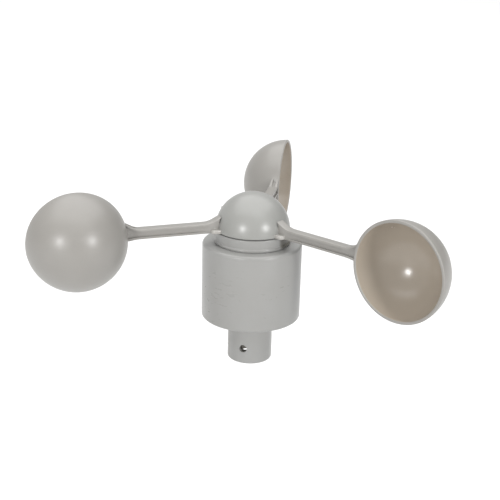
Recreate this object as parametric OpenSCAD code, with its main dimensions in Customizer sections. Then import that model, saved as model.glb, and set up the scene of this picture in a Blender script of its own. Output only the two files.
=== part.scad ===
// Cup anemometer: a three-cup wheel on a ball-bearing shaft, over a round housing
// whose reed switch counts the two magnets in the hub. Millimetres, +Z up.
// The origin is the centre of the mast stub's lower end.

/* [Cup wheel] */
// Outside diameter of each cup
cup_d = 39.2; // [38:0.2:42]
// Depth of each cup, rim plane to the back outside
cup_depth = 19.1; // [17:0.1:19.1]
// Wall thickness of a cup
cup_wall = 1.2; // [1.1:0.1:1.6]
// Distance from the shaft to the centre of a cup
arm_reach = 70.4; // [68:0.2:80]
// Height of the arm's I section
arm_h = 4.0; // [3.6:0.1:4.2]
// Width of the arm's flanges
arm_w = 4.0; // [3.6:0.1:4.2]
// Outside diameter of the domed hub
dome_d = 30; // [29.8:0.1:30.2]
// Direction of the first arm at rest, seen from above
rest_angle = 97; // [91:1:103]

/* [Housing] */
// Outside diameter of the housing
body_d = 40.2; // [40.2:0.2:44]
// Height of the housing's straight body
body_h = 31.6; // [31:0.2:34]
// Outside diameter of the collar under the hub
collar_d = 30.4; // [30.2:0.1:30.8]
// Length of the mast stub
stub_h = 18.7; // [15:0.1:24]
// Outside diameter of the mast stub
stub_d = 18.2; // [17:0.1:19]
// Diameter of the bolt hole across the stub
cross_hole_d = 3.2; // [2.8:0.1:3.6]

/* [Bearings] */
// Outside diameter of the ball bearings
bearing_d = 8; // [8:0.1:8.4]
// Balls in each bearing
ball_count = 7; // [6:1:7]

/* [Hidden] */
$fn = 96;
eps = 0.01;

// Levels, from the mast stub's end upwards
body_z = stub_h;
body_top = body_z + body_h;
collar_top = body_top + 4.9;
rim_z = collar_top + 0.4;
tube_top = rim_z + 2.5;
tube_bottom = body_z + 14;

// Cup wheel
cup_r = cup_d / 2;
cup_sphere_r = (cup_r * cup_r + cup_depth * cup_depth) / (2 * cup_depth);
cup_mid_r = cup_sphere_r - cup_wall / 2;
dome_r = dome_d / 2;
dome_wall = 1.8;
arm_flange = 0.9;
arm_web = 1.7;
root_h = arm_h + 0.1;
foot_half = 3.8;
foot_reach = 3.1;
foot_h = 1.5;
gusset_r = 4.7;
root_gusset_x = dome_r + 3.5;
flare_top_r = 5.2;
flare_under_r = 14;
flare_x = arm_reach - cup_r - 3.2;
hub_boss_r = 4.2;

// Bearings on a 3 mm shaft: pitch circle, ball and ring sections
shaft_r = 1.5;
bearing_r = bearing_d / 2;
bearing_w = 4;
pitch_r = (shaft_r + bearing_r) / 2;
ball_r = 0.79;
groove_r = ball_r + 0.04;
land_inner = 2.3;
land_outer = 3.2;
shield_r = 3.5;
shield_t = 0.2;
upper_z = tube_top - bearing_w / 2;
lower_z = tube_bottom + bearing_w / 2;

// Shaft stack
shim_t = 0.5;
insert_z = tube_top + shim_t;
insert_flange_t = 0.7;
insert_flange_r = 3.4;
insert_r = 2.6;
insert_h = 7;
boss_z = insert_z + insert_flange_t;
clip_shim_t = 0.3;
clip_t = 0.6;
clip_z = tube_bottom - clip_shim_t - clip_t;
clip_groove_r = 1.15;
shaft_bottom = clip_z - 1.1;
shaft_top = insert_z + insert_h - 0.5;

// Magnets, midway between the arms
magnet_r = 2.5;
magnet_h = 3;
magnet_pitch = 9.8;
magnet_z = rim_z + 0.7;
magnet_angle = rest_angle - 90;
pillar_r = 3.2;

// Housing shell
body_r = body_d / 2;
body_wall = 2.5;
body_inner_r = body_r - body_wall;
roof_t = 2;
collar_r = collar_d / 2;
collar_wall = 2;
roof_hole_r = collar_r - collar_wall;
top_round = 1.1;
bottom_round = 0.8;
cover_seat_r = body_inner_r + 0.8;
cover_z = body_z + 0.6;
cover_t = 2;
cover_top = cover_z + cover_t;
boss_pitch = 12.4;
boss_r = 2.8;
boss_top = body_top - 6.5;
boss_angles = [30, 150, 270];
base_screw_r = 1.1;

// Bearing carrier
tube_r = 6;
tube_bore_r = 3.3;
deck_t = 2;
spigot_h = 2.4;
spigot_wall = 1.2;
foot_bead = 0.4;
foot_bead_h = 0.9;
joint_gap = 0.2;

// Base cover and seal
stub_r = stub_d / 2;
stub_wall = 2.8;
cross_hole_z = 6.7;
cover_r = cover_seat_r - 0.1;
lip_r = body_inner_r - 0.2;
lip_wall = 2;
lip_h = 2.8;
seal_r = 0.75;
seal_mid_z = cover_top + lip_h / 2;
screw_head_r = 2.1;
screw_head_t = 1.2;
grommet_pitch = 13.6;
grommet_hole_r = 2;
grommet_flange = 0.7;
cable_r = 1.5;

// Sensor board, under the roof at the back
board_w = 15;
board_y = [7.2, 15.5];
board_t = 1.6;
board_top = body_top - roof_t - 1.4;
board_hole = [5, 14.2];
board_screw_r = 0.8;
reed_y = 9.4;
reed_z = body_top + 1.3;
reed_r = 0.9;
reed_half = 5;
lead_x = 6;
lead_r = 0.25;

module at_arm(i) rotate(rest_angle + 120 * i) translate([0, 0, rim_z]) children();

// A ring around Z between two radii, from height z, h tall
module ring(r_out, r_in, z, h) translate([0, 0, z]) difference() {
    cylinder(r = r_out, h = h);
    translate([0, 0, -eps]) cylinder(r = r_in, h = h + 2 * eps);
}

// ---- cup wheel ----

// Bowl section about the sphere's centre: a part ring, opening upwards
module bowl_section() intersection() {
    difference() {
        circle(cup_sphere_r);
        circle(cup_sphere_r - cup_wall);
    }
    translate([0, -cup_sphere_r]) square([cup_sphere_r, cup_depth]);
}

// The arm's I section, in Y and Z, standing on Z = 0
module arm_section() {
    translate([-arm_w / 2, 0]) square([arm_w, arm_flange]);
    translate([-arm_w / 2, arm_h - arm_flange]) square([arm_w, arm_flange]);
    translate([-arm_web / 2, 0]) square([arm_web, arm_h]);
}

// Straight stretch of the arm from x0 to x1
module arm_beam(x0, x1) translate([x0, 0, 0]) rotate([90, 0, 90])
    linear_extrude(x1 - x0) arm_section();

// Rise of the arm's top edge towards the dome
module root_gusset() translate([0, arm_w / 2, 0]) rotate([90, 0, 0]) linear_extrude(arm_w) difference() {
    translate([dome_r - 4, arm_h - arm_flange]) square([root_gusset_x - dome_r + 4, gusset_r]);
    translate([root_gusset_x, arm_h + gusset_r]) circle(gusset_r);
}

// Quarter ring that carries a flange round from the arm into the cup's rim
module flare_strip(r) intersection() {
    square([r + arm_flange, r + arm_flange]);
    translate([0, r + arm_flange]) difference() {
        circle(r + arm_flange);
        circle(r);
    }
}

// Flare: the top flange sweeps up into the cup's wall and the lower one barely drops
module cup_flare() translate([flare_x, 0, 0]) rotate([90, 0, 0]) {
    translate([0, 0, -arm_w / 2]) linear_extrude(arm_w) {
        translate([0, arm_h - arm_flange]) flare_strip(flare_top_r);
        translate([0, arm_flange]) mirror([0, 1]) flare_strip(flare_under_r);
    }
    top_mid = flare_top_r + arm_flange / 2;
    under_mid = flare_under_r + arm_flange / 2;
    translate([0, 0, -arm_web / 2]) linear_extrude(arm_web) polygon(concat(
        [for (a = [0, 10, 20, 30]) [under_mid * sin(a), under_mid * cos(a) - flare_under_r]],
        [for (a = [60, 30, 0]) [top_mid * sin(a), arm_h + flare_top_r - top_mid * cos(a)]]
    ));
}

module arm_outside_dome() difference() {
    union() {
        arm_beam(dome_r - 1.5, flare_x);
        root_gusset();
        translate([dome_r - 2.5, -foot_half, 0]) cube([foot_reach + 2.5, 2 * foot_half, foot_h]);
    }
    sphere(dome_r);
}

// Tab that fills the dome's notch, with a head behind the wall
module root_tab() {
    translate([dome_r - dome_wall - 0.4, -arm_w / 2, 0]) cube([dome_wall + 0.9, arm_w, root_h]);
    intersection() {
        translate([dome_r - dome_wall - 1.3, -arm_w / 2 - 1, 0]) cube([1.3, arm_w + 2, root_h]);
        sphere(dome_r - dome_wall);
    }
}

module cup_arm() {
    cup_y = cup_depth - cup_sphere_r - arm_w / 2;
    translate([arm_reach, cup_y, 0]) rotate([90, 0, 0]) rotate_extrude() bowl_section();
    difference() {
        union() {
            arm_outside_dome();
            cup_flare();
            root_tab();
        }
        translate([arm_reach, cup_y, 0]) sphere(cup_mid_r);
    }
}

module hub_dome() color("lightgray") translate([0, 0, rim_z]) difference() {
    intersection() {
        union() {
            difference() {
                sphere(dome_r);
                sphere(dome_r - dome_wall);
            }
            translate([0, 0, boss_z - rim_z]) cylinder(r = hub_boss_r, h = dome_r);
            for (side = [0, 180]) rotate(magnet_angle + side) translate([magnet_pitch, 0, 0.5])
                cylinder(r = pillar_r, h = dome_r);
        }
        sphere(dome_r);
        translate([-dome_d, -dome_d, 0]) cube([2 * dome_d, 2 * dome_d, dome_d]);
    }
    // Notches for the arm roots, magnet pockets and the insert's socket
    for (i = [0:2]) rotate(rest_angle + 120 * i) translate([dome_r - 5, -arm_w / 2, -1])
        cube([6, arm_w, root_h + 1]);
    for (side = [0, 180]) rotate(magnet_angle + side) translate([magnet_pitch, 0, -1])
        cylinder(r = magnet_r, h = magnet_z - rim_z + magnet_h + 1);
    translate([0, 0, boss_z - rim_z - 1]) cylinder(r = insert_r, h = insert_h + 1 - insert_flange_t);
}

module magnet(side) color("silver") rotate(magnet_angle + side) translate([magnet_pitch, 0, magnet_z])
    cylinder(r = magnet_r, h = magnet_h);

// ---- shaft and its stack ----

module shaft_insert() color("goldenrod") translate([0, 0, insert_z]) difference() {
    union() {
        cylinder(r = insert_flange_r, h = insert_flange_t);
        cylinder(r = insert_r, h = insert_h);
    }
    translate([0, 0, -1]) cylinder(r = shaft_r, h = insert_h + 2);
    // Undercut that the plastic locks into
    ring(insert_r + 1, insert_r - 0.4, insert_h / 2, 1.2);
}

module rotor_shaft() color("silver") difference() {
    union() {
        translate([0, 0, shaft_bottom + 0.3]) cylinder(r = shaft_r, h = shaft_top - shaft_bottom - 0.6);
        translate([0, 0, shaft_bottom]) cylinder(r1 = shaft_r - 0.3, r2 = shaft_r, h = 0.3);
        translate([0, 0, shaft_top - 0.3]) cylinder(r1 = shaft_r, r2 = shaft_r - 0.3, h = 0.3);
    }
    ring(shaft_r + 1, clip_groove_r, clip_z, clip_t);
}

module hub_shim() color("silver") ring(2.4, shaft_r + 0.05, tube_top, shim_t);

module clip_shim() color("silver") ring(land_inner, shaft_r + 0.05, tube_bottom - clip_shim_t, clip_shim_t);

// E-shaped clip: three lobes grip the shaft's groove, and the mouth opens to +X
module retaining_clip() color("dimgray") translate([0, 0, clip_z]) linear_extrude(clip_t) {
    difference() {
        circle(3.1);
        circle(2.2);
        translate([0, -1.6]) square([4, 3.2]);
    }
    difference() {
        for (a = [95, 180, 265]) rotate(a) translate([0, -0.55]) square([2.4, 1.1]);
        circle(clip_groove_r);
    }
}

module bearing_spacer() color("silver")
    ring(2.15, shaft_r, lower_z + bearing_w / 2, upper_z - lower_z - bearing_w);

// ---- ball bearings, each about its own middle height ----

module inner_ring() rotate_extrude() difference() {
    translate([shaft_r, -bearing_w / 2]) square([land_inner - shaft_r, bearing_w]);
    translate([pitch_r, 0]) circle(groove_r);
}

module outer_ring() rotate_extrude() difference() {
    translate([land_outer, -bearing_w / 2]) square([bearing_r - land_outer, bearing_w]);
    translate([pitch_r, 0]) circle(groove_r);
    for (side = [-1, 1]) translate([land_outer - 1, side * (bearing_w / 2 - 0.2) - 0.2])
        square([shield_r - land_outer + 1, 0.4]);
}

module balls() for (i = [0:ball_count - 1]) rotate(360 / ball_count * i)
    translate([pitch_r, 0, 0]) sphere(ball_r, $fn = 32);

// Crown cage: a back ring with a pocket round each ball
module cage() difference() {
    ring(pitch_r + 0.32, pitch_r - 0.32, -0.4, 1.5);
    for (i = [0:ball_count - 1]) rotate(360 / ball_count * i)
        translate([pitch_r, 0, 0]) sphere(ball_r + 0.04, $fn = 32);
}

module shields() for (side = [-1, 1]) ring(shield_r, land_inner + 0.1,
    side * (bearing_w / 2 - 0.2 - shield_t / 2) - shield_t / 2 + side * 0.1, shield_t);

module at_height(z) translate([0, 0, z]) children();

// ---- housing ----

// Half section of the shell: wall, roof ring and rounded corners
module shell_section() difference() {
    union() {
        translate([roof_hole_r, body_z]) square([body_r - top_round - roof_hole_r, body_h]);
        translate([roof_hole_r, body_z + bottom_round])
            square([body_r - roof_hole_r, body_h - bottom_round - top_round]);
        translate([body_r - top_round, body_top - top_round]) circle(top_round);
        translate([body_r - bottom_round, body_z + bottom_round]) circle(bottom_round);
    }
    translate([0, body_z - 1]) square([body_inner_r, body_h + 1 - roof_t]);
    translate([0, body_z - 1]) square([cover_seat_r, cover_top - body_z + 1]);
}

module housing_shell() color("lightgray") difference() {
    union() {
        rotate_extrude() shell_section();
        for (a = boss_angles) rotate(a) {
            translate([boss_pitch, 0, cover_top]) cylinder(r = boss_r, h = boss_top - cover_top);
            translate([boss_pitch, -0.8, cover_top + lip_h + 0.8])
                cube([body_inner_r - boss_pitch + 0.5, 1.6, boss_top - cover_top - lip_h - 0.8]);
        }
        for (x = [-1, 1]) translate([x * board_hole[0], board_hole[1], board_top])
            cylinder(r = 1.7, h = body_top - roof_t - board_top + 0.2);
    }
    for (a = boss_angles) rotate(a) translate([boss_pitch, 0, cover_top - 1])
        cylinder(r = base_screw_r, h = 11);
    for (x = [-1, 1]) translate([x * board_hole[0], board_hole[1], board_top - 1])
        cylinder(r = board_screw_r, h = 3.4);
}

// Collar, deck and bearing tube in one moulding, with a spigot in the roof's hole
module bearing_carrier() color("lightgray") difference() {
    union() {
        ring(collar_r, roof_hole_r, body_top, collar_top - body_top);
        ring(collar_r + foot_bead, roof_hole_r, body_top + joint_gap, foot_bead_h);
        ring(roof_hole_r, roof_hole_r - spigot_wall, body_top - spigot_h, spigot_h + 1);
        translate([0, 0, collar_top - deck_t]) cylinder(r = collar_r, h = deck_t);
        translate([0, 0, tube_bottom]) cylinder(r = tube_r, h = tube_top - tube_bottom);
    }
    translate([0, 0, tube_bottom - 1]) cylinder(r = tube_bore_r, h = tube_top - tube_bottom + 2);
    translate([0, 0, tube_bottom - 1]) cylinder(r = bearing_r, h = bearing_w + 1);
    translate([0, 0, tube_top - bearing_w]) cylinder(r = bearing_r, h = bearing_w + 1);
}

module base_cover() color("lightgray") difference() {
    union() {
        translate([0, 0, cover_z]) cylinder(r = cover_r, h = cover_t);
        ring(lip_r, lip_r - lip_wall, cover_top - eps, lip_h + eps);
        cylinder(r = stub_r, h = cover_z + eps);
    }
    // Seal groove, round the lip
    ring(lip_r + 1, body_inner_r - 2 * seal_r, seal_mid_z - seal_r, 2 * seal_r);
    // Hollow of the stub, and its cross bolt hole
    translate([0, 0, -1]) cylinder(r = stub_r - stub_wall, h = cover_z + 1);
    translate([0, stub_d, cross_hole_z]) rotate([90, 0, 0]) cylinder(d = cross_hole_d, h = 2 * stub_d);
    // Countersunk clearance for the three screws, and the cable outlet
    for (a = boss_angles) rotate(a) translate([boss_pitch, 0, 0]) {
        translate([0, 0, cover_z - 1]) cylinder(r = base_screw_r + 0.2, h = cover_t + 2);
        translate([0, 0, cover_z - 1]) cylinder(r = screw_head_r + 0.2, h = 1 + screw_head_t);
    }
    translate([0, grommet_pitch, cover_z - 1]) cylinder(r = grommet_hole_r, h = cover_t + 1);
}

module base_seal() color("black") translate([0, 0, seal_mid_z]) rotate_extrude()
    translate([body_inner_r - seal_r, 0]) circle(seal_r, $fn = 32);

// Pan-head self-tapping screw, point upwards, head below z = 0, with a cross recess
module screw(r, head_r, head_t, length) difference() {
    union() {
        translate([0, 0, -head_t]) cylinder(r = head_r, h = head_t);
        cylinder(r = r, h = length - 1);
        translate([0, 0, length - 1]) cylinder(r1 = r, r2 = r * 0.3, h = 1);
    }
    for (a = [0, 90]) rotate(a) translate([-head_r * 0.6, -head_r * 0.11, -head_t - 1])
        cube([head_r * 1.2, head_r * 0.22, 1 + head_t * 0.6]);
}

module base_screws() color("silver") for (a = boss_angles) rotate(a)
    translate([boss_pitch, 0, cover_z + screw_head_t]) screw(base_screw_r, screw_head_r, screw_head_t, 9);

module sensor_board() color("darkgreen") difference() {
    translate([-board_w / 2, board_y[0], board_top - board_t])
        cube([board_w, board_y[1] - board_y[0], board_t]);
    for (x = [-1, 1]) {
        translate([x * board_hole[0], board_hole[1], 0]) cylinder(r = board_screw_r + 0.2, h = body_top);
        translate([x * lead_x, reed_y, 0]) cylinder(r = lead_r, h = body_top, $fn = 24);
        translate([x * 1.3, 12.4, 0]) cylinder(r = 0.45, h = body_top, $fn = 24);
    }
}

module board_screws() color("silver") for (x = [-1, 1])
    translate([x * board_hole[0], board_hole[1], board_top - board_t])
        screw(board_screw_r, 1.5, 0.9, board_t + 2.2);

module reed_glass() color("lightgreen") translate([0, reed_y, reed_z]) rotate([0, 90, 0]) difference() {
    union() {
        translate([0, 0, -reed_half + reed_r]) cylinder(r = reed_r, h = 2 * (reed_half - reed_r));
        for (side = [-1, 1]) translate([0, 0, side * (reed_half - reed_r)]) sphere(reed_r, $fn = 48);
    }
    // Sealed cavity for the blades
    translate([0, 0, -reed_half + 1.6]) cylinder(r = reed_r - 0.3, h = 2 * (reed_half - 1.6));
    translate([0, 0, -reed_half - 1]) cylinder(r = lead_r, h = 2 * reed_half + 2, $fn = 24);
}

// One blade: a lead up from the board, bent over into the glass, and flattened inside it
module reed_blade(side) translate([0, reed_y, 0]) mirror([side < 0 ? 1 : 0, 0, 0]) {
    lead_bottom = board_top - board_t - 0.6;
    translate([lead_x, 0, lead_bottom]) cylinder(r = lead_r, h = reed_z - lead_bottom, $fn = 24);
    translate([lead_x, 0, reed_z]) sphere(lead_r, $fn = 24);
    translate([2.6, 0, reed_z]) rotate([0, 90, 0]) cylinder(r = lead_r, h = lead_x - 2.6, $fn = 24);
    translate([-0.6, -0.3, reed_z + (side < 0 ? -0.2 : 0.08)]) cube([3.4, 0.6, 0.12]);
}

module reed_blades() color("silver") for (side = [-1, 1]) reed_blade(side);

// Rubber grommet in the cable outlet: two flanges and a neck
module cable_grommet() color("dimgray") translate([0, grommet_pitch, 0]) difference() {
    union() {
        translate([0, 0, cover_z]) cylinder(r = grommet_hole_r, h = cover_t);
        translate([0, 0, cover_z - 1.4]) cylinder(r = grommet_hole_r + grommet_flange, h = 1.4);
        translate([0, 0, cover_top]) cylinder(r = grommet_hole_r - 0.3, h = 0.9);
    }
    translate([0, 0, cover_z - 3]) cylinder(r = cable_r, h = 10);
}

hub_dome();
color("lightgray") at_arm(0) cup_arm();  // cup_arm_1
color("lightgray") at_arm(1) cup_arm();  // cup_arm_2
color("lightgray") at_arm(2) cup_arm();  // cup_arm_3
shaft_insert();
rotor_shaft();
magnet(0);  // magnet_1
magnet(180);  // magnet_2
hub_shim();
clip_shim();
retaining_clip();
bearing_spacer();
color("silver") at_height(upper_z) inner_ring();  // upper_inner_ring
color("silver") at_height(upper_z) outer_ring();  // upper_outer_ring
color("silver") at_height(upper_z) balls();  // upper_balls
color("goldenrod") at_height(upper_z) cage();  // upper_cage
color("silver") at_height(upper_z) shields();  // upper_shields
color("silver") at_height(lower_z) inner_ring();  // lower_inner_ring
color("silver") at_height(lower_z) outer_ring();  // lower_outer_ring
color("silver") at_height(lower_z) balls();  // lower_balls
color("goldenrod") at_height(lower_z) cage();  // lower_cage
color("silver") at_height(lower_z) shields();  // lower_shields
housing_shell();
bearing_carrier();
base_cover();
base_seal();
base_screws();
sensor_board();
reed_glass();
reed_blades();
board_screws();
cable_grommet();
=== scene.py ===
"""Looks of the cup anemometer: moulded shells round the fixed frame, their finishes, light and camera.

Shapes are made in millimetres and brought to metres as each piece is finished.
"""
import math

import bmesh
import bpy
from mathutils import Matrix, Vector


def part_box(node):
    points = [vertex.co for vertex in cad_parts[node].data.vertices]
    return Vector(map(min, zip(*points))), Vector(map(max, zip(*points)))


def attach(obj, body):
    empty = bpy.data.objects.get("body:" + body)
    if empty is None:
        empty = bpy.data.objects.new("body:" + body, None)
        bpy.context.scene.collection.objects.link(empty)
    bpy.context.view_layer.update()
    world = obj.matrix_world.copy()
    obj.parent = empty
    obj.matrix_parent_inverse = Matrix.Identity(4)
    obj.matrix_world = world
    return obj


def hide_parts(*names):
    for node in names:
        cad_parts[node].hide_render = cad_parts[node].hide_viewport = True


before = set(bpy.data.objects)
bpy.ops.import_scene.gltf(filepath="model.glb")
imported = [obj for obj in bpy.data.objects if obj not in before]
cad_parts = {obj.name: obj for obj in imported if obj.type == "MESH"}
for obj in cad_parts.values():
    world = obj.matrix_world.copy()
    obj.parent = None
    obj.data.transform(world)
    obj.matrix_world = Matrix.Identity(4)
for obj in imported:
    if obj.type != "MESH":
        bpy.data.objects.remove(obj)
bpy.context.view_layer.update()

MM = 0.001


def node_box(node):
    """Lowest and highest corner of a CAD node in millimetres."""
    lowest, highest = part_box(node)
    return lowest / MM, highest / MM


# Levels and radii, taken from the frame
hub_low, hub_high = node_box("hub_dome")
shell_low, shell_high = node_box("housing_shell")
carrier_low, carrier_high = node_box("bearing_carrier")
cover_low, cover_high = node_box("base_cover")
arm_low, arm_high = node_box("cup_arm_1")
outlet_low, outlet_high = node_box("cable_grommet")

DOME_R = (hub_high.x - hub_low.x) / 2
RIM_Z = hub_low.z
BODY_R = (shell_high.x - shell_low.x) / 2
BODY_Z = shell_low.z
ROOF_Z = shell_high.z
TUBE_BOTTOM = carrier_low.z
TUBE_TOP = carrier_high.z
COVER_R = (cover_high.x - cover_low.x) / 2
CUP_R = (arm_high.z - arm_low.z) / 2

# Sizes that repeat the frame's source
REST_ANGLE = 97.0
REACH = 70.4
CUP_DEPTH = 19.1
CUP_WALL = 1.2
ARM_H = 4.0
ARM_W = 4.0
COLLAR_R = 15.2
COLLAR_TOP = ROOF_Z + 4.9
COVER_Z = BODY_Z + 0.6
COVER_TOP = COVER_Z + 2.0
STUB_R = 9.1
STUB_WALL = 2.8
BOLT_HOLE_Z = 6.7
BOLT_HOLE_R = 1.6
BOSS_PITCH = 12.4
BOSS_ANGLES = (30, 150, 270)
OUTLET_Y = 13.6
OUTLET_R = 2.0

# Segments round turned pieces, and steps across rounded corners and edges
AROUND = 160
GROMMET_AROUND = 72
POST_AROUND = 64
STANDOFF_AROUND = 48
CORNER_STEPS = 5
EDGE_STEPS = 4
ARM_EDGE_STEPS = 3

# Degrees over which a painted shade fades across each of its ends
SHADE_FADE = 6.0


# ---- shaping ----

def section(corners):
    """A mesh holding one flat outline in the X-Z plane, its corners (x, z, rounding) cut round."""
    bm = bmesh.new()
    verts = [bm.verts.new((x, 0, z)) for x, z, _ in corners]
    bm.faces.new(verts)
    for vert, (_, _, rounding) in zip(verts, corners):
        if rounding:
            bmesh.ops.bevel(bm, geom=[vert], offset=rounding, segments=CORNER_STEPS, profile=0.5,
                            affect="VERTICES", material=-1)
    return bm


def arc(centre_x, centre_z, radius, start, end, count):
    """Corners along an arc, angles in degrees from +X towards +Z, with no rounding."""
    angles = [math.radians(start + (end - start) * i / count) for i in range(count + 1)]
    return [(centre_x + radius * math.cos(a), centre_z + radius * math.sin(a), 0) for a in angles]


def turned(corners, steps=AROUND):
    """A closed solid spun about Z from a closed section."""
    bm = section(corners)
    bmesh.ops.delete(bm, geom=bm.faces[:], context="FACES_ONLY")
    on_axis = [e for e in bm.edges if all(abs(v.co.x) < 1e-6 for v in e.verts)]
    bmesh.ops.delete(bm, geom=on_axis, context="EDGES")
    bmesh.ops.spin(bm, geom=bm.verts[:] + bm.edges[:], cent=(0, 0, 0), axis=(0, 0, 1),
                   angle=math.tau, steps=steps, use_merge=True)
    bmesh.ops.remove_doubles(bm, verts=bm.verts[:], dist=1e-4)
    bmesh.ops.recalc_face_normals(bm, faces=bm.faces[:])
    return bm


def slab(corners, width):
    """A section thickened to width, centred on Y = 0."""
    bm = section(corners)
    face = max(bm.faces, key=lambda f: f.calc_area())
    grown = bmesh.ops.extrude_face_region(bm, geom=[face])
    far_side = [v for v in grown["geom"] if isinstance(v, bmesh.types.BMVert)]
    bmesh.ops.translate(bm, vec=(0, width, 0), verts=far_side)
    bmesh.ops.translate(bm, vec=(0, -width / 2, 0), verts=bm.verts[:])
    bmesh.ops.recalc_face_normals(bm, faces=bm.faces[:])
    return bm


def block(low, high, rounding):
    """A box between two corners, with rounded edges."""
    bm = bmesh.new()
    bmesh.ops.create_cube(bm, size=1)
    low, high = Vector(low), Vector(high)
    bmesh.ops.scale(bm, vec=high - low, verts=bm.verts[:])
    bmesh.ops.translate(bm, vec=(low + high) / 2, verts=bm.verts[:])
    bmesh.ops.bevel(bm, geom=bm.edges[:], offset=rounding, segments=EDGE_STEPS, profile=0.5,
                    affect="EDGES", material=-1)
    return bm


def placed(bm, matrix):
    bmesh.ops.transform(bm, matrix=matrix, verts=bm.verts[:])
    return bm


def shifted(bm, x, y, z=0):
    return placed(bm, Matrix.Translation((x, y, z)))


def about_z(bm, degrees):
    return placed(bm, Matrix.Rotation(math.radians(degrees), 4, "Z"))


def marked(bm, name, value_at):
    """Gives every vertex a number under name, from its place."""
    layer = bm.verts.layers.float.new(name)
    for vert in bm.verts:
        vert[layer] = value_at(vert.co)
    return bm


def shade_between(co, start, end, strength):
    """Strength between two angles about Z, in degrees, fading across both ends."""
    angle = math.degrees(math.atan2(co.y, co.x))
    inside = min(angle - start, end - angle)
    return strength * min(1.0, max(0.0, 0.5 + inside / SHADE_FADE))


def joined(parts):
    """One mesh from several closed ones."""
    whole = bmesh.new()
    for part in parts:
        passing = bpy.data.meshes.new("part")
        part.to_mesh(passing)
        part.free()
        whole.from_mesh(passing)
        bpy.data.meshes.remove(passing)
    return whole


def bored(bm, cutters):
    """The solid with the cutters' space taken out of it."""
    objects = []
    for name, source in (("solid", bm), ("cutters", joined(cutters))):
        mesh = bpy.data.meshes.new(name)
        source.to_mesh(mesh)
        source.free()
        objects.append(bpy.data.objects.new(name, mesh))
        bpy.context.scene.collection.objects.link(objects[-1])
    solid, tool = objects
    modifier = solid.modifiers.new("bore", "BOOLEAN")
    modifier.object = tool
    modifier.operation = "DIFFERENCE"
    modifier.solver = "EXACT"
    depsgraph = bpy.context.evaluated_depsgraph_get()
    result = bmesh.new()
    result.from_mesh(solid.evaluated_get(depsgraph).to_mesh())
    for made in objects:
        mesh = made.data
        bpy.data.objects.remove(made)
        bpy.data.meshes.remove(mesh)
    return result


def finished(bm, name, node, body, finish, crease=38):
    """Turns a mesh into the piece that stands for a CAD node."""
    bmesh.ops.scale(bm, vec=(MM, MM, MM), verts=bm.verts[:])
    mesh = bpy.data.meshes.new(name)
    bm.to_mesh(mesh)
    bm.free()
    mesh.shade_smooth()
    mesh.set_sharp_from_angle(angle=math.radians(crease))
    piece = bpy.data.objects.new(name, mesh)
    bpy.context.scene.collection.objects.link(piece)
    mesh.materials.append(finish)
    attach(piece, body)
    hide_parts(node)
    return piece


# ---- finishes ----

class Wire:
    """A value in a material's node tree, for writing shader maths as expressions."""

    def __init__(self, maker, socket):
        self.maker = maker
        self.socket = socket

    def _math(self, operation, first, second):
        made = self.maker.node("ShaderNodeMath", {"operation": operation}, {0: first, 1: second})
        return Wire(self.maker, made.outputs[0])

    def __add__(self, other):
        return self._math("ADD", self, other)

    __radd__ = __add__

    def __sub__(self, other):
        return self._math("SUBTRACT", self, other)

    def __mul__(self, other):
        return self._math("MULTIPLY", self, other)

    __rmul__ = __mul__

    def clipped(self):
        made = self.maker.node("ShaderNodeClamp", {}, {"Value": self})
        return Wire(self.maker, made.outputs[0])


class Finish:
    """One material, with its node tree built by calls."""

    def __init__(self, name, **fixed):
        self.material = bpy.data.materials.new(name)
        self.material.use_nodes = True
        self.tree = self.material.node_tree
        self.shader = self.tree.nodes["Principled BSDF"]
        self.place = Wire(self, self.node("ShaderNodeTexCoord").outputs["Object"])
        for socket, value in fixed.items():
            self.shader.inputs[socket.replace("_", " ")].default_value = value

    def node(self, kind, settings=None, inputs=None):
        made = self.tree.nodes.new(kind)
        for key, value in (settings or {}).items():
            setattr(made, key, value)
        for key, value in (inputs or {}).items():
            self.feed(made.inputs[key], value)
        return made

    def feed(self, socket, value):
        if isinstance(value, Wire):
            self.tree.links.new(value.socket, socket)
        else:
            socket.default_value = value

    def stretched(self, scale):
        """Object coordinates multiplied along each axis."""
        made = self.node("ShaderNodeMapping", {}, {"Vector": self.place, "Scale": scale})
        return Wire(self, made.outputs[0])

    def noise(self, scale, detail, place=None, roughness=0.5):
        made = self.node("ShaderNodeTexNoise", {}, {
            "Vector": place or self.place, "Scale": scale, "Detail": detail, "Roughness": roughness})
        return Wire(self, made.outputs[0])

    def attribute(self, name):
        """A number that the mesh carries, 0 where it carries none."""
        made = self.node("ShaderNodeAttribute", {"attribute_type": "GEOMETRY", "attribute_name": name})
        return Wire(self, made.outputs["Fac"])

    def ramp(self, value, low, high, interpolation="LINEAR"):
        """0 below low, 1 above high."""
        made = self.node("ShaderNodeMapRange", {"interpolation_type": interpolation, "clamp": True},
                         {"Value": value, "From Min": low, "From Max": high})
        return Wire(self, made.outputs[0])

    def blend(self, factor, first, second):
        """Colours mixed by factor; a colour is a tuple or a wire."""
        made = self.node("ShaderNodeMix", {"data_type": "RGBA"}, {"Factor": factor})
        for socket, value in ((made.inputs[6], first), (made.inputs[7], second)):
            self.feed(socket, value if isinstance(value, Wire) else (*value, 1.0))
        return Wire(self, made.outputs[2])

    def bump(self, height, distance, strength):
        made = self.node("ShaderNodeBump", {}, {
            "Height": height, "Distance": distance, "Strength": strength})
        self.set("Normal", Wire(self, made.outputs[0]))

    def set(self, socket, value):
        self.feed(self.shader.inputs[socket], value)


def tinted(colour, factors):
    """A colour with each channel multiplied by its own factor."""
    return tuple(channel * factor for channel, factor in zip(colour, factors))


def evenly(factor):
    return (factor, factor, factor)


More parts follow.
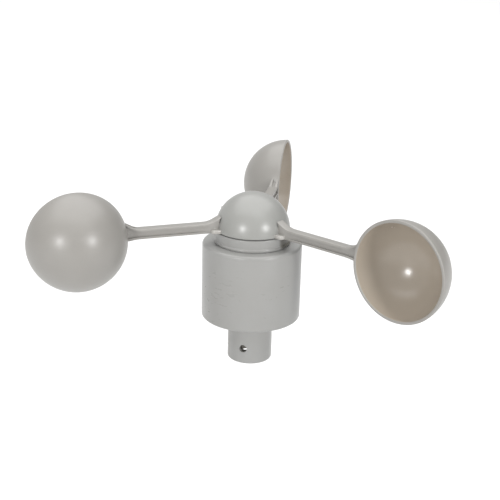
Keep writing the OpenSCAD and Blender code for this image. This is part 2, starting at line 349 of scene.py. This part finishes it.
def moulded_plastic(name, pale, deep, sheen_low=0.30, sheen_high=0.42, specular=0.5):
    """Satin moulded plastic: faint flow clouds, fine speckle, handling marks and a spark-eroded skin.

    The film attribute marks the cups' dusty insides; a second attribute marks pads made glossier
    and given a painted highlight, and a third marks painted brown shade.
    """
    f = Finish(name, IOR=1.50, Specular_IOR_Level=specular)
    film = f.attribute("film")
    polish_and_highlight = f.attribute("polish_and_highlight")
    painted_shade = f.attribute("painted_shade")
    clouds = f.noise(38, 4)
    speckle = f.noise(2600, 2)
    grime = f.ramp(f.noise(90, 5, roughness=0.65), 0.52, 0.78, "SMOOTHSTEP")
    tone = f.ramp(clouds, 0.3, 0.7, "SMOOTHSTEP")
    colour = f.blend(tone, deep, pale)
    colour = f.blend(grime * 0.10, colour, tinted(deep, evenly(0.78)))
    colour = f.blend(f.ramp(speckle, 0.35, 0.65) * 0.05, colour, tinted(pale, evenly(1.2)))
    dusty = f.blend(clouds, tinted(deep, DUST_DEEP), tinted(pale, DUST_PALE))
    colour = f.blend(film, colour, dusty)
    # Painted highlight: the marked pads' colour is lightened towards a paler one; their lower roughness is
    # set below.
    colour = f.blend(polish_and_highlight * 0.6, colour, tinted(pale, evenly(1.5)))
    # Painted shade: where the mesh is marked, the colour is pulled towards a dark brown in broken patches.
    patchy_shade = painted_shade * (0.75 + 0.5 * f.noise(700, 3))
    f.set("Base Color", f.blend(patchy_shade.clipped(), colour, PAINTED_SHADE_BROWN))
    rubbed = f.noise(260, 4, f.stretched((1.0, 1.0, 3.0)))
    sheen = sheen_low + (sheen_high - sheen_low) * (0.55 * rubbed + 0.45 * clouds) + 0.05 * grime
    f.set("Roughness", sheen - 0.14 * polish_and_highlight - 0.12 * film)
    f.bump(0.65 * f.noise(1900, 3) + 0.35 * f.noise(420, 2), 0.000035, 0.5)
    return f.material


def metal(name, pale, deep, rough, along=(1, 1, 1)):
    """Bare or plated metal: fine lines, closest along the largest factor's axis, and duller patches."""
    f = Finish(name, Metallic=1.0)
    lines = f.noise(900, 5, f.stretched(along), 0.6)
    patches = f.ramp(f.noise(240, 4), 0.4, 0.7, "SMOOTHSTEP")
    f.set("Base Color", f.blend((0.6 * patches + 0.4 * lines).clipped(), pale, deep))
    f.set("Roughness", rough + 0.12 * lines + 0.10 * patches)
    f.bump(lines, 0.00001, 0.4)
    return f.material


def rubber(name, pale, deep):
    """Matt rubber: a dusty bloom over black, and a fine pebbled skin."""
    f = Finish(name, IOR=1.52)
    bloom = f.ramp(f.noise(300, 5, roughness=0.7), 0.42, 0.72, "SMOOTHSTEP")
    f.set("Base Color", f.blend(bloom * 0.6, deep, pale))
    f.set("Roughness", 0.66 + 0.2 * bloom)
    f.bump(f.noise(3200, 3), 0.00003, 0.6)
    return f.material


def board_laminate():
    """Green solder mask over copper tracks, with the weave of the laminate just showing."""
    f = Finish("board_green", IOR=1.50)
    weave = f.node("ShaderNodeTexBrick", {}, {"Vector": f.place, "Scale": 1200.0, "Mortar Size": 0.06})
    tracks = f.ramp(f.noise(420, 1, f.stretched((1.0, 0.25, 1.0))), 0.50, 0.53)
    clouds = f.noise(160, 3)
    colour = f.blend(tracks * 0.55, (0.015, 0.115, 0.045), (0.05, 0.26, 0.10))
    colour = f.blend(clouds * 0.3, colour, (0.02, 0.09, 0.04))
    f.set("Base Color", colour)
    f.set("Roughness", 0.28 + 0.16 * clouds)
    f.bump(tracks + 0.15 * Wire(f, weave.outputs[1]), 0.00003, 0.5)
    return f.material


def sealed_glass():
    """Clear green-tinted glass with faint drawn streaks."""
    f = Finish("reed_tube_glass", IOR=1.50, Transmission_Weight=1.0)
    streaks = f.noise(700, 3, f.stretched((0.1, 1.0, 1.0)))
    f.set("Base Color", f.blend(streaks, (0.72, 0.90, 0.80), (0.86, 0.96, 0.90)))
    f.set("Roughness", 0.03 + 0.05 * streaks)
    f.bump(streaks, 0.00001, 0.3)
    return f.material


# The brown of the painted shade, and how much the dust lifts each channel of the two plastic colours
PAINTED_SHADE_BROWN = (0.125, 0.118, 0.098)
DUST_PALE = (1.40, 1.28, 1.14)
DUST_DEEP = (1.34, 1.21, 1.06)
cup_plastic = moulded_plastic("cup_moulding", (0.222, 0.214, 0.200), (0.210, 0.201, 0.186))
hub_plastic = moulded_plastic("hub_moulding", (0.228, 0.229, 0.218), (0.217, 0.217, 0.205), 0.28, 0.36)
housing_plastic = moulded_plastic(
    "housing_moulding", (0.238, 0.238, 0.231), (0.225, 0.223, 0.214), 0.24, 0.33, 0.3)
grommet_rubber = rubber("grommet_black", (0.10, 0.10, 0.095), (0.025, 0.025, 0.025))
seal_rubber = rubber("seal_black", (0.06, 0.06, 0.06), (0.012, 0.012, 0.012))

CAD_FINISHES = {
    "shaft_insert": metal("turned_brass", (0.82, 0.64, 0.32), (0.62, 0.45, 0.20), 0.24, (0.2, 0.2, 3)),
    "rotor_shaft": metal("ground_shaft", (0.72, 0.73, 0.75), (0.55, 0.56, 0.58), 0.16, (0.2, 0.2, 4)),
    "hub_shim": metal("rolled_shim", (0.66, 0.66, 0.68), (0.50, 0.50, 0.52), 0.28, (3, 0.3, 1)),
    "retaining_clip": metal("oiled_spring_steel", (0.12, 0.12, 0.13), (0.05, 0.05, 0.055), 0.34),
    "bearing_spacer": metal("turned_aluminium", (0.84, 0.85, 0.86), (0.66, 0.67, 0.69), 0.26, (0.2, 0.2, 5)),
    "magnet_1": metal("nickel_plating", (0.78, 0.77, 0.75), (0.64, 0.63, 0.60), 0.14),
    "upper_inner_ring": metal("ground_ring", (0.72, 0.73, 0.75), (0.58, 0.59, 0.61), 0.12, (0.2, 0.2, 4)),
    "upper_balls": metal("polished_balls", (0.80, 0.81, 0.83), (0.68, 0.69, 0.71), 0.06),
    "upper_cage": metal("pressed_cage", (0.66, 0.60, 0.50), (0.48, 0.42, 0.33), 0.30),
    "upper_shields": metal("pressed_shield", (0.70, 0.71, 0.72), (0.54, 0.55, 0.57), 0.24, (0.3, 0.3, 1)),
    "base_screws": metal("zinc_plating", (0.74, 0.74, 0.76), (0.50, 0.50, 0.53), 0.26),
    "reed_blades": metal("tinned_blades", (0.76, 0.74, 0.68), (0.60, 0.58, 0.52), 0.20, (0.2, 1, 1)),
    "base_seal": seal_rubber,
    "sensor_board": board_laminate(),
    "reed_glass": sealed_glass(),
}
SAME_FINISH = {
    "clip_shim": "hub_shim", "magnet_2": "magnet_1", "board_screws": "base_screws",
    "upper_outer_ring": "upper_inner_ring", "lower_inner_ring": "upper_inner_ring",
    "lower_outer_ring": "upper_inner_ring", "lower_balls": "upper_balls",
    "lower_cage": "upper_cage", "lower_shields": "upper_shields",
}
for node, source in SAME_FINISH.items():
    CAD_FINISHES[node] = CAD_FINISHES[source]
for node, finish in CAD_FINISHES.items():
    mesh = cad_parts[node].data
    mesh.materials.clear()
    mesh.materials.append(finish)


# ---- cup wheel ----

CUP_SPHERE_R = (CUP_R ** 2 + CUP_DEPTH ** 2) / (2 * CUP_DEPTH)
RIM_DROP = CUP_SPHERE_R - CUP_DEPTH
CUP_STEPS = 48

# Where the flare starts, its taper per millimetre, and the arm's flanges, hollows and edges
FLARE_X = REACH - CUP_R - 3.2
FLARE_TAPER = 0.045
FLANGE = 0.85
ARM_DISH = 0.75
FLARE_DISH = 1.35
FLARE_DISH_RUN = 4.0
EDGE = 0.3
# How far the arm's sides stand inside the frame's, the joint line at the dome, and the end's bite
ARM_INSET = 0.05
DOME_GAP = 0.18
CUP_BITE = 0.75


def bowl():
    """A cup about its sphere's centre, opening upwards, with a rounded lip."""
    inner_r = CUP_SPHERE_R - CUP_WALL
    outer_end = -math.degrees(math.asin(RIM_DROP / CUP_SPHERE_R))
    inner_end = -math.degrees(math.asin(RIM_DROP / inner_r))
    outer = arc(0, 0, CUP_SPHERE_R, -90, outer_end, CUP_STEPS)
    inner = arc(0, 0, inner_r, inner_end, -90, CUP_STEPS)
    lip = 0.42
    # The lip's rounding swallows the arcs' last steps, so it starts from longer ones
    outer[-1] = (*outer[-1][:2], lip)
    inner[0] = (*inner[0][:2], lip)
    bm = turned(outer[:-2] + outer[-1:] + inner[:1] + inner[2:])
    edge_r = CUP_SPHERE_R - 0.9 * CUP_WALL
    return marked(bm, "film", lambda co: float(co.length < edge_r and co.z < -RIM_DROP - 0.2))


def arm_outline():
    """Side outline of the arm, from the dome's skin to inside the cup's wall."""
    root = arc(0, 0, DOME_R + DOME_GAP, 24.5, 0, 6)
    tip = arc(REACH, 0, CUP_R - CUP_BITE, 182, 159, 8)
    low = [(FLARE_X, 0, 1.0)]
    high = [(FLARE_X + 0.2, ARM_H, 1.4)]
    knee = [(DOME_R + 3.5, ARM_H, 1.6)]
    return root + low + tip + high + knee


def arm_hollow(side):
    """What is taken out of one side of the arm: it runs out at the root and deepens in the flare."""
    end = REACH - CUP_R + 2.5
    start = DOME_R + 2.4
    full = DOME_R + 9.0
    root_skin = 0.02
    bm = slab([
        (start, FLANGE, 0), (FLARE_X + 0.3, FLANGE, 1.0), (end, FLANGE - 0.7, 0), (end, ARM_H + 2.4, 0),
        (FLARE_X + 0.5, ARM_H - FLANGE, 1.4), (start, ARM_H - FLANGE, 0)], ARM_W)
    for x in (full, FLARE_X):
        bmesh.ops.bisect_plane(bm, geom=bm.verts[:] + bm.edges[:] + bm.faces[:], plane_co=(x, 0, 0),
                               plane_no=(1, 0, 0))
    for vert in bm.verts:
        if vert.co.y * side > 0:
            vert.co.y = side * ARM_W
            continue
        if vert.co.x < full:
            depth = ARM_DISH * (vert.co.x - start) / (full - start) - root_skin
        elif vert.co.x < FLARE_X:
            depth = ARM_DISH
        else:
            depth = ARM_DISH + (FLARE_DISH - ARM_DISH) * min(1, (vert.co.x - FLARE_X) / FLARE_DISH_RUN)
        vert.co.y = side * (ARM_W / 2 - ARM_INSET - depth)
    bmesh.ops.triangulate(bm, faces=bm.faces[:])
    return bm


def top_groove():
    """Shallow groove up the flare's top, fading out along the arm."""
    start, end, top = FLARE_X - 0.6, REACH - CUP_R + 1.6, ARM_H + 6
    width = 1.4
    return slab([
        (start, ARM_H + 0.1, 0), (FLARE_X + 1.0, ARM_H, 0), (end, ARM_H + 1.6, 0),
        (end, top, 0), (start, top, 0)], width)


def ribbed_arm():
    """The arm: a slab with rounded edges, thinner through the flare, hollowed at the sides and top."""
    bm = slab(arm_outline(), ARM_W - 2 * ARM_INSET)
    bmesh.ops.bisect_plane(bm, geom=bm.verts[:] + bm.edges[:] + bm.faces[:], plane_co=(FLARE_X, 0, 0),
                           plane_no=(1, 0, 0))
    for vert in bm.verts:
        vert.co.y *= 1 - FLARE_TAPER * max(0.0, vert.co.x - FLARE_X)
    sides = {f for f in bm.faces if abs(f.normal.y) > 0.9}
    rims = [e for e in bm.edges if sum(f in sides for f in e.link_faces) == 1]
    bmesh.ops.bevel(bm, geom=rims, offset=EDGE, segments=ARM_EDGE_STEPS, profile=0.5,
                    affect="EDGES", material=-1)
    return bored(bm, [arm_hollow(-1), arm_hollow(1), top_groove()])


def root_foot():
    """The pad under the arm's root: round-cornered in plan, with a soft top edge."""
    low, high, half, thick, middle, edge = DOME_R - 1.8, DOME_R + 3.1, 3.8, 1.6, 0.75, 0.45
    bm = slab([(low, -half, 1.2), (high, -half, 1.9), (high, half, 1.9), (low, half, 1.2)], thick)
    placed(bm, Matrix.Translation((0, 0, middle)) @ Matrix.Rotation(math.radians(90), 4, "X"))
    caps = [f for f in bm.faces if abs(f.normal.z) > 0.9]
    rims = list({e for f in caps for e in f.edges})
    bmesh.ops.bevel(bm, geom=rims, offset=edge, segments=EDGE_STEPS, profile=0.5,
                    affect="EDGES", material=-1)
    # The pad is marked for lower roughness and for a painted highlight that lightens its colour.
    return marked(bm, "polish_and_highlight", lambda co: 1.0)


def cup_arm(index):
    """One cup with its arm, the pad under the arm's root and the tab that keys into the dome."""
    cup = placed(bowl(), Matrix.Translation((REACH, CUP_DEPTH - CUP_SPHERE_R - ARM_W / 2, 0))
                 @ Matrix.Rotation(math.radians(90), 4, "X"))
    foot = root_foot()
    tab = block((DOME_R - 2.6, -ARM_W / 2 + 0.1, 0.1), (DOME_R + 0.6, ARM_W / 2 - 0.1, ARM_H - 0.1), 0.2)
    bm = joined([cup, ribbed_arm(), foot, tab])
    shifted(bm, 0, 0, RIM_Z)
    about_z(bm, REST_ANGLE + 120 * index)
    node = f"cup_arm_{index + 1}"
    return finished(bm, f"{node}_moulding", node, "rotor", cup_plastic)


for index in range(3):
    cup_arm(index)


def hub():
    """The domed hub: shell, centre boss and the two magnet pillars."""
    inner_r = DOME_R - 1.8
    boss_r, boss_z, socket_r, socket_top = 4.2, 3.7, 2.6, 9.3
    meet = math.degrees(math.acos(boss_r / inner_r))
    outer = arc(0, 0, DOME_R, 90, 0, 56)
    inner = arc(0, 0, inner_r, 0, meet, 40)
    # As on the cups, the rim's rounding starts from longer last steps
    outer[-1] = (DOME_R, 0, 0.3)
    inner[0] = (inner_r, 0, 0.3)
    core = [(boss_r, boss_z, 0.3), (socket_r, boss_z, 0), (socket_r, socket_top, 0), (0, socket_top, 0)]
    dome = turned(outer[:-2] + outer[-1:] + inner[:1] + inner[2:] + core)
    magnet_r, pillar_r, low, magnet_top, top, pitch = 2.5, 3.2, 0.5, 3.7, 8.0, 9.8
    pillars = []
    for side in (0, 180):
        pillar = turned([
            (magnet_r, low, 0.15), (pillar_r, low, 0.2), (pillar_r, top, 0), (0, top, 0),
            (0, magnet_top, 0), (magnet_r, magnet_top, 0)], POST_AROUND)
        angle = math.radians(REST_ANGLE - 90 + side)
        pillars.append(shifted(pillar, pitch * math.cos(angle), pitch * math.sin(angle)))
    bm = shifted(joined([dome, *pillars]), 0, 0, RIM_Z)
    return finished(bm, "hub_moulding", "hub_dome", "rotor", hub_plastic)


hub()


# ---- housing ----

def shell():
    """The round housing with its roof, screw posts, ribs and board stand-offs."""
    inner_r, seat_r, roof_t, hole_r = BODY_R - 2.5, BODY_R - 1.7, 2.0, COLLAR_R - 2.0
    post_top = ROOF_Z - 6.5
    wall = turned([
        (seat_r, BODY_Z, 0.25), (BODY_R, BODY_Z, 0.9), (BODY_R, ROOF_Z, 1.2), (hole_r, ROOF_Z, 0.2),
        (hole_r, ROOF_Z - roof_t, 0.2), (inner_r, ROOF_Z - roof_t, 0.6), (inner_r, COVER_TOP, 0.1),
        (seat_r, COVER_TOP, 0.1)])
    parts = [wall]
    post_r, thread_r, thread_top = 2.8, 1.1, COVER_TOP + 10
    for angle in BOSS_ANGLES:
        post = turned([
            (thread_r, COVER_TOP, 0.1), (post_r, COVER_TOP, 0.15), (post_r, post_top, 0.4),
            (0, post_top, 0), (0, thread_top, 0), (thread_r, thread_top, 0)], POST_AROUND)
        rib = block((2.2, -0.8, COVER_TOP + 3.6), (inner_r - BOSS_PITCH + 0.5, 0.8, post_top - 0.5), 0.25)
        parts.append(about_z(shifted(joined([post, rib]), BOSS_PITCH, 0), angle))
    standoff_r, pilot_r, low, pilot_top, top = 1.7, 0.8, ROOF_Z - 3.4, ROOF_Z - 2.0, ROOF_Z - 1.5
    for x in (-5, 5):
        standoff = turned([
            (pilot_r, low, 0.1), (standoff_r, low, 0.15), (standoff_r, top, 0), (0, top, 0),
            (0, pilot_top, 0), (pilot_r, pilot_top, 0)], STANDOFF_AROUND)
        parts.append(shifted(standoff, x, 14.2))
    return finished(
        joined(parts), "housing_moulding", "housing_shell", "housing", housing_plastic)


shell()


def carrier():
    """Collar, deck and bearing tube; the collar's foot stands a hair off the roof as a joint line."""
    spigot_r = COLLAR_R - 2.0
    foot_r = COLLAR_R + 0.1
    upper_r = COLLAR_R - 0.3
    tube_r, seat_r, land_r, seat_depth = 6.0, 4.0, 3.3, 4
    bm = turned([
        (spigot_r - 1.2, ROOF_Z - 2.4, 0.2), (spigot_r, ROOF_Z - 2.4, 0.2), (spigot_r, ROOF_Z, 0),
        (upper_r, ROOF_Z, 0), (upper_r, ROOF_Z + 0.12, 0), (foot_r, ROOF_Z + 0.12, 0.12),
        (foot_r, ROOF_Z + 1.0, 0.25), (upper_r, ROOF_Z + 1.2, 0.2), (upper_r, COLLAR_TOP, 0.4),
        (tube_r, COLLAR_TOP, 0.5), (tube_r, TUBE_TOP, 0.3), (seat_r, TUBE_TOP, 0.2),
        (seat_r, TUBE_TOP - seat_depth, 0), (land_r, TUBE_TOP - seat_depth, 0.1),
        (land_r, TUBE_BOTTOM + seat_depth, 0.1), (seat_r, TUBE_BOTTOM + seat_depth, 0),
        (seat_r, TUBE_BOTTOM, 0.2), (tube_r, TUBE_BOTTOM, 0.3), (tube_r, COLLAR_TOP - 2, 0.8),
        (spigot_r, COLLAR_TOP - 2, 0.6), (spigot_r, ROOF_Z + 1, 0.1), (spigot_r - 1.2, ROOF_Z + 1, 0.2)])
    # Painted shadow: the collar's side from -24 to 24 degrees about the shaft, under the arm resting at -23
    # degrees, is darkened brown except at its foot.
    marked(bm, "painted_shade", lambda co: shade_between(co, -24, 24, 0.9) * (co.z > ROOF_Z + 0.5))
    return finished(bm, "carrier_moulding", "bearing_carrier", "housing", housing_plastic)


carrier()


def base():
    """Base plate with its lip and seal groove, and the mast stub with the bolt hole across it."""
    lip_r, lip_top, groove_r = BODY_R - 2.7, COVER_TOP + 2.8, BODY_R - 4.0
    groove_low, groove_high = COVER_TOP + 0.65, COVER_TOP + 2.15
    stub_bore = STUB_R - STUB_WALL
    solid = turned([
        (stub_bore, 0, 0.35), (STUB_R, 0, 0.8), (STUB_R, COVER_Z, 0.35), (COVER_R, COVER_Z, 0.25),
        (COVER_R, COVER_TOP, 0.15), (lip_r, COVER_TOP, 0.1), (lip_r, groove_low, 0.1),
        (groove_r, groove_low, 0.1), (groove_r, groove_high, 0.1), (lip_r, groove_high, 0.1),
        (lip_r, lip_top, 0.3), (lip_r - 2, lip_top, 0.3), (lip_r - 2, COVER_TOP, 0.3), (0, COVER_TOP, 0),
        (0, COVER_Z, 0), (stub_bore, COVER_Z, 0.4)])
    reach = STUB_R + 3
    bolt = turned([
        (0, -reach, 0), (BOLT_HOLE_R, -reach, 0), (BOLT_HOLE_R, reach, 0), (0, reach, 0)], POST_AROUND)
    across = Matrix.Translation((0, 0, BOLT_HOLE_Z)) @ Matrix.Rotation(math.radians(90), 4, "X")
    cutters = [placed(bolt, across)]
    head_r, screw_r, head_top = 2.3, 1.3, COVER_Z + 1.2
    for angle in BOSS_ANGLES:
        well = turned([
            (0, COVER_Z - 1, 0), (head_r, COVER_Z - 1, 0), (head_r, head_top, 0), (screw_r, head_top, 0),
            (screw_r, COVER_TOP + 1, 0), (0, COVER_TOP + 1, 0)], POST_AROUND)
        cutters.append(about_z(shifted(well, BOSS_PITCH, 0), angle))
    outlet = turned([
        (0, COVER_Z - 1, 0), (OUTLET_R, COVER_Z - 1, 0), (OUTLET_R, COVER_TOP + 0.2, 0),
        (0, COVER_TOP + 0.2, 0)], POST_AROUND)
    cutters.append(shifted(outlet, 0, OUTLET_Y))
    bm = bored(solid, cutters)
    # Painted brown shade inside the mast stub, and a faint brown band on its outside.
    marked(bm, "painted_shade", base_shade)
    return finished(bm, "base_moulding", "base_cover", "housing", housing_plastic, 32)


def base_shade(co):
    """Painted brown shade inside the stub, and a faint brown band down one side of its outside."""
    radius = math.hypot(co.x, co.y)
    if co.z > COVER_Z + 0.05 or radius > STUB_R + 0.5:
        return 0.0
    if radius < STUB_R - 0.3:
        return 1.0
    return shade_between(co, -168, -136, 0.38)


base()


def grommet():
    """Rubber grommet: a domed flange outside, a neck through the plate and a narrower end inside."""
    bore_r = 1.5
    flange_r = OUTLET_R + 0.7
    low, high = outlet_low.z, outlet_high.z
    bm = turned([
        (bore_r, low, 0.3), (flange_r, low, 0.6), (flange_r, COVER_Z - 0.05, 0.15),
        (OUTLET_R, COVER_Z, 0), (OUTLET_R, COVER_TOP, 0), (OUTLET_R - 0.3, high, 0.15),
        (bore_r, high, 0.15)], GROMMET_AROUND)
    shifted(bm, 0, OUTLET_Y)
    return finished(bm, "grommet_ring", "cable_grommet", "housing", grommet_rubber)


grommet()


# ---- floor, light and camera ----

# The camera: turn about the shaft, distance out, height, angles in radians, lens and film in millimetres
VIEW_TURN = math.radians(REST_ANGLE - 79.736)
CAMERA_OUT = 412.36 * MM
CAMERA_UP = RIM_Z * MM + 135.72 * MM
CAMERA_PITCH = -0.338
CAMERA_YAW = -0.002
CAMERA_ROLL = 0.026
LENS = 78.04
FILM_WIDTH = 36

FLOOR_Z = -75 * MM
FLOOR_R = 6.0
FLOOR_GLOW = 0.22
WHITE = (1.0, 1.0, 1.0, 1.0)

# Small boxes: name, degrees right of the view, height in metres and power; then their place and size
SMALL_BOXES = (("left_box", -31, 0.29, 4.6), ("right_box", 42, 0.33, 5.8))
SMALL_BOX_OUT = 1.0
SMALL_BOX_SIZE = 0.16
SOFTBOX_AT = Vector((0, 0, RIM_Z * MM))
TOP_BOX_OUT = 0.6
TOP_BOX_UP = 2.4
TOP_BOX_SIZE = 4.0
TOP_BOX_POWER = 105.0

# Strength of the white surroundings and of the grey card, and the card's place round the view
WALL_LIGHT = 0.72
CARD_LIGHT = 0.03
CARD_SIDE = 100


def floor_finish():
    """Plain pale card."""
    f = Finish("pale_card", Emission_Strength=FLOOR_GLOW)
    cloud = f.noise(6, 2)
    f.shader.inputs["Emission Color"].default_value = WHITE
    f.set("Base Color", f.blend(cloud, (0.55, 0.55, 0.55), (0.57, 0.57, 0.57)))
    f.set("Roughness", 0.85 + 0.1 * cloud)
    return f.material


def floor():
    bm = bmesh.new()
    bmesh.ops.create_circle(bm, cap_ends=True, segments=128, radius=FLOOR_R)
    bmesh.ops.translate(bm, vec=(0, 0, FLOOR_Z), verts=bm.verts[:])
    mesh = bpy.data.meshes.new("floor")
    bm.to_mesh(mesh)
    bm.free()
    mesh.materials.append(floor_finish())
    made = bpy.data.objects.new("floor", mesh)
    bpy.context.scene.collection.objects.link(made)


floor()


def from_view(side, out, up):
    """A place given as seen from the camera's side: degrees right of the view, metres out and up."""
    angle = VIEW_TURN - math.pi / 2 + math.radians(side)
    return Vector((out * math.cos(angle), out * math.sin(angle), up))


def softbox(name, place, aim, size, power):
    """A square softbox facing aim."""
    light = bpy.data.lights.new(name, "AREA")
    light.shape = "RECTANGLE"
    light.size, light.size_y = size, size
    light.energy = power
    made = bpy.data.objects.new(name, light)
    made.location = place
    made.rotation_euler = (aim - place).to_track_quat("-Z", "Y").to_euler()
    bpy.context.scene.collection.objects.link(made)


for name, side, height, power in SMALL_BOXES:
    softbox(name, from_view(side, SMALL_BOX_OUT, height), SOFTBOX_AT, SMALL_BOX_SIZE, power)
softbox("top_box", from_view(180, TOP_BOX_OUT, TOP_BOX_UP), from_view(180, TOP_BOX_OUT, 0),
        TOP_BOX_SIZE, TOP_BOX_POWER)


def studio_walls():
    """White surroundings, with a grey card standing off to the right of the view."""
    world = bpy.data.worlds.new("studio")
    world.use_nodes = True
    tree = world.node_tree
    background = tree.nodes["Background"]
    background.inputs["Color"].default_value = WHITE
    direction = tree.nodes.new("ShaderNodeTexCoord")
    facing = tree.nodes.new("ShaderNodeVectorMath")
    facing.operation = "DOT_PRODUCT"
    facing.inputs[1].default_value = from_view(CARD_SIDE, 0.97, -0.24)
    strength = tree.nodes.new("ShaderNodeMapRange")
    strength.interpolation_type = "SMOOTHSTEP"
    limits = {"From Min": 0.25, "From Max": 0.8, "To Min": WALL_LIGHT, "To Max": CARD_LIGHT}
    for socket, value in limits.items():
        strength.inputs[socket].default_value = value
    tree.links.new(direction.outputs["Generated"], facing.inputs[0])
    tree.links.new(facing.outputs["Value"], strength.inputs["Value"])
    tree.links.new(strength.outputs["Result"], background.inputs["Strength"])
    bpy.context.scene.world = world


studio_walls()
bpy.context.scene.view_settings.view_transform = "Standard"


def camera():
    """A lens looking along the yaw and pitch, rolled about that line, then turned about the shaft."""
    sy, cy = math.sin(CAMERA_YAW), math.cos(CAMERA_YAW)
    sp, cp = math.sin(CAMERA_PITCH), math.cos(CAMERA_PITCH)
    forward = Vector((sy * cp, cy * cp, sp))
    right = Vector((cy, -sy, 0))
    up = right.cross(forward)
    rolled_right = math.cos(CAMERA_ROLL) * right + math.sin(CAMERA_ROLL) * up
    rolled_up = -math.sin(CAMERA_ROLL) * right + math.cos(CAMERA_ROLL) * up
    axes = Matrix((rolled_right, rolled_up, -forward)).transposed().to_4x4()
    data = bpy.data.cameras.new("camera")
    data.lens = LENS
    data.sensor_width = FILM_WIDTH
    data.clip_start = 0.01
    made = bpy.data.objects.new("camera", data)
    made.matrix_world = (Matrix.Rotation(VIEW_TURN, 4, "Z")
                         @ Matrix.Translation((0, -CAMERA_OUT, CAMERA_UP)) @ axes)
    bpy.context.scene.collection.objects.link(made)
    bpy.context.scene.camera = made


camera()

bpy.context.view_layer.update()
